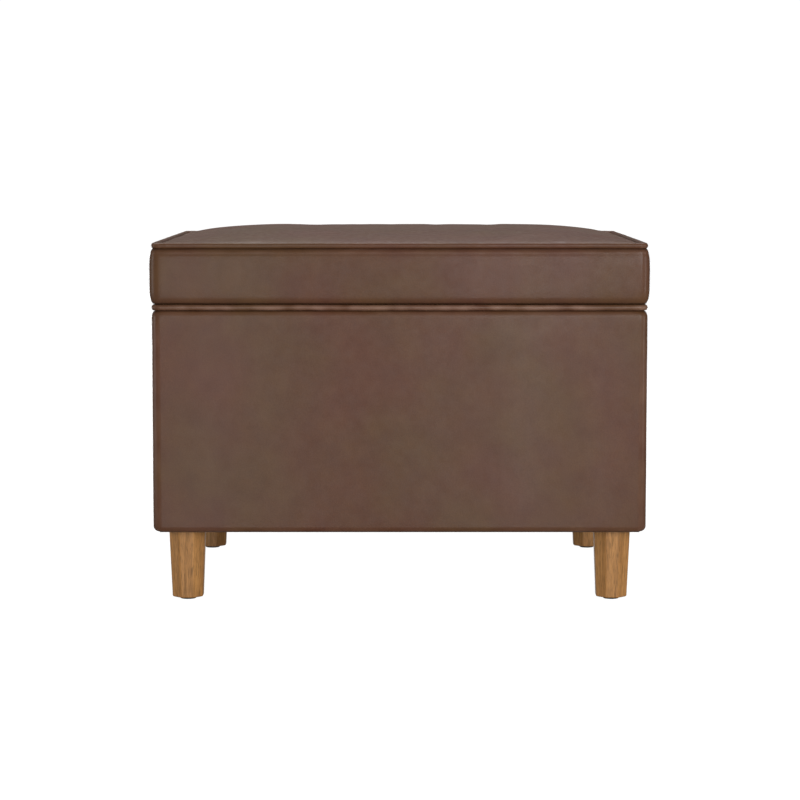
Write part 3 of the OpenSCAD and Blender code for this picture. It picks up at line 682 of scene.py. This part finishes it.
def piping_path(half_w, half_d, radius, gap_half=None, step=2.5 * MM):
    """Points of the piping's centre line, clockwise from the back, and how much each is in a bend."""
    points, bent = [], []

    def line(a, b):
        n = max(2, round(math.dist(a, b) / step))
        for i in range(n):
            points.append((a[0] + (b[0] - a[0]) * i / n, a[1] + (b[1] - a[1]) * i / n))
            bent.append(0.0)

    def bend(cx, cy, a0):
        n = 14
        for i in range(n):
            a = math.radians(a0 - 90 * i / n)
            points.append((cx + radius * math.cos(a), cy + radius * math.sin(a)))
            bent.append(1.0)

    w, d = half_w - radius, half_d - radius
    start = gap_half or 0.0
    line((start, half_d), (w, half_d))
    bend(w, d, 90)
    line((half_w, d), (half_w, -d))
    bend(w, -d, 0)
    line((w, -half_d), (-w, -half_d))
    bend(-w, -d, -90)
    line((-half_w, -d), (-half_w, d))
    bend(-w, d, 180)
    line((-w, half_d), (-start, half_d))
    if gap_half:
        points.append((-start, half_d))
        bent.append(0.0)
    return np.array(points), np.array(bent)


def piping_section(tape):
    """[outward, up, roundness] round a cord, with a flat tape that leads in from its top if tape is true."""
    if not tape:
        return [(math.cos(a), math.sin(a), 1.0) for a in np.linspace(0, math.tau, 18, endpoint=False)]
    section = [(math.cos(a), math.sin(a), 1.0) for a in np.radians(np.linspace(110, 450, 18))]
    return section + [(-0.9, 1.17, 0.0), (-1.35, 1.17, 0.0), (-1.35, 1.02, 0.0), (-0.9, 1.0, 0.0)]


def make_piping(name, node, z, gap_half, seed, rubbing_and_highlight, tape=False):
    """A leather-wrapped cord: slightly wavy and lumpy, with small folds on the inside of its bends, and a
    painted highlight on its outer half.
    """
    path, bent = piping_path(HALF_W - WELT_R, HALF_D - WELT_R, CORNER_R - WELT_R, gap_half)
    n, closed = len(path), gap_half is None
    after, before = np.roll(path, -1, 0), np.roll(path, 1, 0)
    if not closed:
        after[-1], before[0] = path[-1], path[0]
    along = after - before
    along /= np.linalg.norm(along, axis=1)[:, None]
    outward = np.column_stack([-along[:, 1], along[:, 0]])
    spot = np.column_stack([path, np.full(n, z)])
    rise = 0.18 * MM * ripple(spot, 60 * MM, seed)
    drift = 0.20 * MM * ripple(spot, 45 * MM, seed + 1)
    lumps = 1 + 0.022 * ripple(spot, 9 * MM, seed + 2)
    length = np.concatenate([[0], np.cumsum(np.linalg.norm(np.diff(path, axis=0), axis=1))])
    section = piping_section(tape)
    sides = len(section)
    points, rubbed_and_highlight = [], []
    for i in range(n):
        for out, up, cord in section:
            wave = 0.5 + 0.5 * math.cos(length[i] / (1.9 * MM) * math.tau)
            fold = 1 - 0.05 * bent[i] * wave * (out < 0.2) * cord
            r = WELT_R * (lumps[i] * fold if cord else 1)
            offset = r * out + drift[i] * cord
            points.append((*(path[i] + outward[i] * offset), z + rise[i] * cord + r * up))
            # The cord's outer half is made paler: a painted highlight set by the last argument, with a little
            # more for rubbing in the bends.
            rubbed_and_highlight.append(max(0.0, out) * (rubbing_and_highlight + 0.3 * bent[i]) * cord)
    faces = []
    for i in range(n if closed else n - 1):
        this, following = i * sides, (i + 1) % n * sides
        faces += [(this + k, following + k, following + (k + 1) % sides, this + (k + 1) % sides)
                  for k in range(sides)]
    if not closed:
        faces += [tuple(range(sides)), tuple((n - 1) * sides + k for k in reversed(range(sides)))]
    piping = new_object(name, points, faces)
    spots = np.array(points)
    paint(piping, "rubbed_and_highlight", np.clip(np.array(rubbed_and_highlight) * (0.55 + 0.5 * ripple(spots, 16 * MM, seed + 3)), 0, 1))
    paint(piping, "seam_shade", np.zeros(len(points)))
    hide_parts(node)
    return dress(piping, LEATHER, "lid")


def make_lid_foam():
    outline = Outline(HALF_W, HALF_D, CORNER_R, 20 * MM, 8)
    low, high = BOARD_HI.z, SEAM_TOP_Z - 2 * MM
    rows = [(4.5 * MM, low + 0.05 * MM)]
    for h in np.linspace(0.04, 0.98, 10):
        inset = 1.6 * MM - 1.6 * MM * math.sin(math.pi * h) + 2.6 * MM * max(0, h - 0.8) * 5
        rows.append((inset, low + (high - low) * h))
    rows += [(10 * MM, high + 0.4 * MM, 6 * MM)]
    for u in (0.02, 0.06, 0.15, 0.28, 0.45, 0.7, 1.0):
        inset = 12 * MM + CROWN_RUN * u
        top = CROWN_SEAM_Z + (CROWN_TOP_Z - CROWN_SEAM_Z - SHOULDER) * (1 - (1 - u) ** CROWN_POWER)
        rows.append((inset, top - 1.8 * MM, 6 * MM + 0.3 * CROWN_RUN * u))
    foam = loft("lid_foam_block", outline, rows, cap_start=True, cap_end=True)
    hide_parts("lid_foam")
    return dress(foam, FOAM, "lid")


make_body_cover()
make_body_padding()
make_boxing()
make_top_cover()
# The last number sets the painted highlight on each cord's outer half: faint on the top piping, strong on the
# lower one.
make_piping("lid_top_piping", "lid_top_welt", (TOP_WELT_LO.z + TOP_WELT_HI.z) / 2, None, seed=11, rubbing_and_highlight=0.05)
make_piping("lid_bottom_piping", "lid_bottom_welt", (LOW_WELT_LO.z + LOW_WELT_HI.z) / 2,
            HINGE_HALF + 3 * MM, seed=21, rubbing_and_highlight=1.3, tape=True)
make_lid_foam()


# ---------- cloth ----------

def wavy_sheet(name, half_w, half_d, z, height, thickness):
    """A level sheet. height(points, distance from the edge) lifts its points."""
    xs, ys = spaced(half_w, 9 * MM, 2 * MM), spaced(half_d, 9 * MM, 2 * MM)
    x, y = [a.ravel() for a in np.meshgrid(xs, ys)]
    inside = np.minimum(half_w - np.abs(x), half_d - np.abs(y))
    points = np.column_stack([x, y, np.full(len(x), z)])
    points[:, 2] += height(points, inside)
    cloth = new_object(name, points, grid_faces(len(xs), len(ys)))
    return thicken(cloth, thickness, 0)


def make_lid_liner():
    half_w, half_d = LINER_HI.x, LINER_HI.y

    def height(p, inside):
        loose = smooth_step((inside - 22 * MM) / (40 * MM))
        hem = -0.25 * MM * ridge(inside - 8 * MM, 1.2 * MM)
        near_edge = smooth_step(inside / (10 * MM)) * np.exp(-inside / (30 * MM))
        pulls = 0.18 * MM * ripple(p, 26 * MM, 41) * near_edge
        sag = 0.7 * MM + 0.7 * MM * ripple(p, 85 * MM, 42) + 0.2 * MM * ripple(p, 30 * MM, 43)
        return hem + pulls - loose * sag

    liner = wavy_sheet("lid_liner_cloth", half_w, half_d, (LINER_LO.z + LINER_HI.z) / 2, height, 0.5 * MM)
    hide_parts("lid_liner")
    return dress(liner, LINING, "lid")


def make_dust_cover():
    half_w, half_d = DUST_HI.x, DUST_HI.y
    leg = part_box("leg_front_right")

    def height(p, inside):
        across = np.clip(np.abs(p[:, 0]) - leg[0].x, None, 0)
        near_leg = np.hypot(across, np.clip(np.abs(p[:, 1]) + leg[1].y, None, 0))
        loose = smooth_step((inside - 18 * MM) / (50 * MM)) * smooth_step(near_leg / (60 * MM))
        hem = -0.25 * MM * ridge(inside - 8 * MM, 1.2 * MM)
        sag = 1.6 * MM + 0.8 * MM * ripple(p, 110 * MM, 44) + 0.3 * MM * ripple(p, 35 * MM, 45)
        return hem - loose * sag

    cover = wavy_sheet("dust_cover_cloth", half_w, half_d, (DUST_LO.z + DUST_HI.z) / 2, height, 0.4 * MM)
    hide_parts("dust_cover")
    return dress(cover, DUST_CLOTH, "base")


def make_lining():
    """The compartment's black lining, sewn from one cross-shaped piece.

    Its four walls, chamfered at the corners, cover the corner posts and meet the floor in a small round.
    """
    thickness = 0.5 * MM
    chamfer = 24 * MM
    floor_z = LINING_LO.z
    half_w, half_d = ROOM_X - thickness - 0.1 * MM, ROOM_Y - thickness - 0.1 * MM
    corner_steps, long_steps, short_steps = 6, 60, 46
    cove_r = 5 * MM

    def ring(inset):
        """Anticlockwise points of the chamfered outline, with slightly eased corners."""
        w, d, c = half_w - inset, half_d - inset, max(chamfer - 0.586 * inset, 2 * MM)
        corners = [(w, d - c), (w - c, d), (c - w, d), (-w, d - c),
                   (-w, c - d), (c - w, -d), (w - c, -d), (w, c - d)]
        steps = [corner_steps, long_steps, corner_steps, short_steps] * 2
        at = []
        for (ax, ay), (bx, by), n in zip(corners, corners[1:] + corners[:1], steps):
            at += [(ax + (bx - ax) * i / n, ay + (by - ay) * i / n) for i in range(n)]
        return np.array(at)

    walls = [(0.0, z) for z in np.linspace(FLAP_Z - 0.6 * MM, floor_z + cove_r, 26)]
    cove = [(cove_r * (1 - math.cos(a)), floor_z + cove_r * (1 - math.sin(a)))
            for a in np.linspace(0.3, math.pi / 2, 5)]
    spread = [(cove_r + (half_d - 7 * MM) * u, floor_z) for u in np.linspace(0.04, 1, 20)]
    rows = walls + cove + spread
    points, faces = [], []
    for inset, z in rows:
        at = ring(inset)
        points.append(np.column_stack([at, np.full(len(at), z)]))
    count = len(points[0])
    points = np.concatenate(points)
    steep = np.repeat([1.0] * len(walls) + [0.0] * (len(rows) - len(walls)), count)
    from_top, from_floor = FLAP_Z - points[:, 2], points[:, 2] - floor_z
    loose = smooth_step((from_top - 12 * MM) / (50 * MM)) * smooth_step((from_floor - 12 * MM) / (30 * MM))
    middle = points[:, :2] * [1 / half_w, 1 / half_d]
    inwards = -np.sign(points[:, :2]) * (np.abs(middle) > 0.97)
    wave = (0.25 + 0.25 * ripple(points * [1, 1, 0.5], 60 * MM, 51)) * MM * loose * steep
    points[:, :2] += inwards * wave[:, None]
    inner = np.minimum(half_w - np.abs(points[:, 0]), half_d - np.abs(points[:, 1]))
    slack = (0.8 + 0.8 * ripple(points, 70 * MM, 52)) * MM
    points[:, 2] += (1 - steep) * smooth_step((inner - 10 * MM) / (30 * MM)) * slack
    points[:, 2] += 0.3 * MM
    for i in range(len(rows) - 1):
        for k in range(count):
            a, b = i * count + k, i * count + (k + 1) % count
            faces.append((a, a + count, b + count, b))
    last = (len(rows) - 1) * count
    faces.append(tuple(last + k for k in range(count)))
    starts = np.cumsum([0] + [corner_steps, long_steps, corner_steps, short_steps] * 2)[:8]
    tops = []
    for start, (sx, sy) in zip(starts[::2], ((1, 1), (-1, 1), (-1, -1), (1, -1))):
        faces.append((*range(start, start + corner_steps + 1), len(points) + len(tops)))
        tops.append((sx * half_w, sy * half_d, walls[0][1]))
    lining = new_object("compartment_lining", np.concatenate([points, tops]), faces)
    thicken(lining, thickness, 1)
    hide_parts("lining")
    return dress(lining, LINING, "base")


make_lid_liner()
make_dust_cover()
make_lining()


# ---------- legs ----------

def make_leg(node):
    """A tapered octagonal leg with eased edges, one flat facing the front."""
    lo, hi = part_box(node)
    cx, cy = (lo.x + hi.x) / 2, (lo.y + hi.y) / 2
    foot_points = [v.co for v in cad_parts[node].data.vertices if v.co.z < lo.z + 0.1 * MM]
    foot_flat = max(p.x for p in foot_points) - cx
    top_flat = (hi.x - lo.x) / 2
    ease = 1.1 * MM

    def ring(flat, z, shrink):
        corner = (flat - shrink) / math.cos(math.pi / 8)
        at = []
        for k in range(8):
            for j in (-1, 0, 1):
                reach = corner - ease * (0.27 if j == 0 else 0.33)
                a = math.pi / 8 + k * math.pi / 4 + 0.9 * j * ease / corner
                at.append((cx + reach * math.cos(a), cy + reach * math.sin(a), z))
        return at

    height = hi.z - lo.z
    rows = [(0.0, 1.3 * MM), (0.4 * MM, 0.5 * MM), (1.0 * MM, 0.1 * MM), (1.8 * MM, 0.0)]
    rows += [(height * t, 0.0) for t in np.linspace(0.08, 0.96, 12)]
    rows += [(height - 0.8 * MM, 0.0), (height, 0.5 * MM)]
    points = []
    for up, shrink in rows:
        points += ring(foot_flat + (top_flat - foot_flat) * up / height, lo.z + up, shrink)
    count = 24
    faces = []
    for i in range(len(rows) - 1):
        low, high = i * count, (i + 1) * count
        faces += [(low + k, low + (k + 1) % count, high + (k + 1) % count, high + k) for k in range(count)]
    faces += [tuple(reversed(range(count))), tuple((len(rows) - 1) * count + k for k in range(count))]
    leg = new_object(node + "_oak", points, faces, smooth=False)
    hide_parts(node)
    return dress(leg, OAK, "base")


for place in ("front_left", "front_right", "rear_left", "rear_right"):
    make_leg("leg_" + place)


# ---------- CAD nodes that keep their shape ----------

KEPT = {
    "panel": PLYWOOD, "lid_board": PLYWOOD, "corner_posts": PINE, "foot_glides": PLASTIC,
    "lid_bumpers": RUBBER, "hinge_pin": DARK_STEEL, "rivet": DARK_STEEL,
}


def finish_kept_nodes():
    for name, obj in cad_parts.items():
        if obj.hide_render:
            continue
        material = next((m for key, m in KEPT.items() if key in name and "screws" not in name), ZINC)
        obj.data.materials.clear()
        obj.data.materials.append(material)


finish_kept_nodes()


# ---------- floor, light and camera ----------

CAMERA_AWAY = 3.091         # from the body's front face
CAMERA_RIGHT = 0.0005
CAMERA_HEIGHT = 0.5586
CAMERA_PITCH = -5.605       # degrees below the level
CAMERA_LENS = 112.77        # millimetres, for a 36 mm sensor
MIDDLE = (0, 0, 0.25)       # of the ottoman, where most of the lights aim


def two_ways(tree, lighting, seen):
    """A shader that shows the camera one look, and lights the object with another."""
    path = tree.nodes.new("ShaderNodeLightPath")
    both = tree.nodes.new("ShaderNodeMixShader")
    tree.links.new(path.outputs["Is Camera Ray"], both.inputs[0])
    tree.links.new(lighting.outputs[0], both.inputs[1])
    tree.links.new(seen.outputs[0], both.inputs[2])
    return both.outputs[0]


def make_floor():
    """A pale floor whose own brightness keeps it near white, with a faint shadow on it.

    It is clear from below, and the softboxes shine through it.
    """
    size = 14.0
    corners = [(-size, -size, 0), (size, -size, 0), (size, size, 0), (-size, size, 0)]
    floor = new_object("floor", corners, [(0, 1, 2, 3)])
    floor.visible_shadow = False
    floor.visible_glossy = False
    g = Graph("pale floor", Roughness=0.9, Specular_IOR_Level=0.0)
    g.link(g.ramp(g.noise(0.6), (0.50, 0.50, 0.50), (0.54, 0.54, 0.54)), "Base Color")
    glow = g.add("ShaderNodeEmission", {"Color": (1, 1, 1, 1), "Strength": 1.17})
    pale = g.add("ShaderNodeMixShader", {0: 0.85, 1: g.shader.outputs[0], 2: glow.outputs[0]})
    clear = g.add("ShaderNodeBsdfTransparent")
    side = g.add("ShaderNodeNewGeometry").outputs["Backfacing"]
    above = two_ways(g.tree, g.shader, pale)
    one_sided = g.add("ShaderNodeMixShader", {0: side, 1: above, 2: clear.outputs[0]})
    g.tree.links.new(one_sided.outputs[0], g.tree.nodes["Material Output"].inputs["Surface"])
    floor.data.materials.append(g.material)


def make_world():
    """A plain white backdrop that lights the object as a dim grey room does."""
    world = bpy.data.worlds.new("studio")
    world.use_nodes = True
    tree = world.node_tree
    room, white = tree.nodes["Background"], tree.nodes.new("ShaderNodeBackground")
    for shader, strength in ((room, 0.20), (white, 1.05)):
        shader.inputs["Color"].default_value = (1, 1, 1, 1)
        shader.inputs["Strength"].default_value = strength
    tree.links.new(two_ways(tree, room, white), tree.nodes["World Output"].inputs["Surface"])
    bpy.context.scene.world = world


def area_light(name, at, toward, size, power):
    """A soft box of size = (width, height)."""
    data = bpy.data.lights.new(name, "AREA")
    data.energy = power
    data.shape = "RECTANGLE"
    data.size, data.size_y = size
    obj = bpy.data.objects.new(name, data)
    obj.location = at
    obj.rotation_mode = "QUATERNION"
    obj.rotation_quaternion = (Vector(toward) - Vector(at)).to_track_quat("-Z", "Y")
    bpy.context.scene.collection.objects.link(obj)


def make_camera():
    data = bpy.data.cameras.new("camera")
    data.sensor_width = 36
    data.lens = CAMERA_LENS
    camera = bpy.data.objects.new("camera", data)
    camera.location = (CAMERA_RIGHT, -HALF_D - CAMERA_AWAY, CAMERA_HEIGHT)
    camera.rotation_euler = (math.radians(90 + CAMERA_PITCH), 0, 0)
    bpy.context.scene.collection.objects.link(camera)
    bpy.context.scene.camera = camera


make_floor()
make_world()
area_light("key softbox", (1.25, -3.0, 1.10), MIDDLE, (1.2, 1.6), 63)
area_light("left strip", (-0.48, -3.1, 0.2), (-0.48, 0, 0.2), (0.34, 2.4), 20)
area_light("right strip", (0.31, -3.1, 0.2), (0.31, 0, 0.2), (0.26, 2.4), 21)
area_light("right side fill", (2.8, -1.3, 0.5), MIDDLE, (1.0, 1.2), 22)
area_light("left side fill", (-2.8, -0.6, 0.5), MIDDLE, (1.0, 1.2), 20)
area_light("overhead softbox", (-0.3, 1.0, 2.7), (-0.3, 1.0, 0), (3.4, 2.4), 108)
area_light("back left softbox", (-1.6, 2.9, 0.2), MIDDLE, (1.2, 0.9), 42)
area_light("back right softbox", (1.3, 3.0, 0.2), MIDDLE, (0.8, 0.9), 20)
make_camera()
bpy.context.scene.view_settings.view_transform = "Standard"
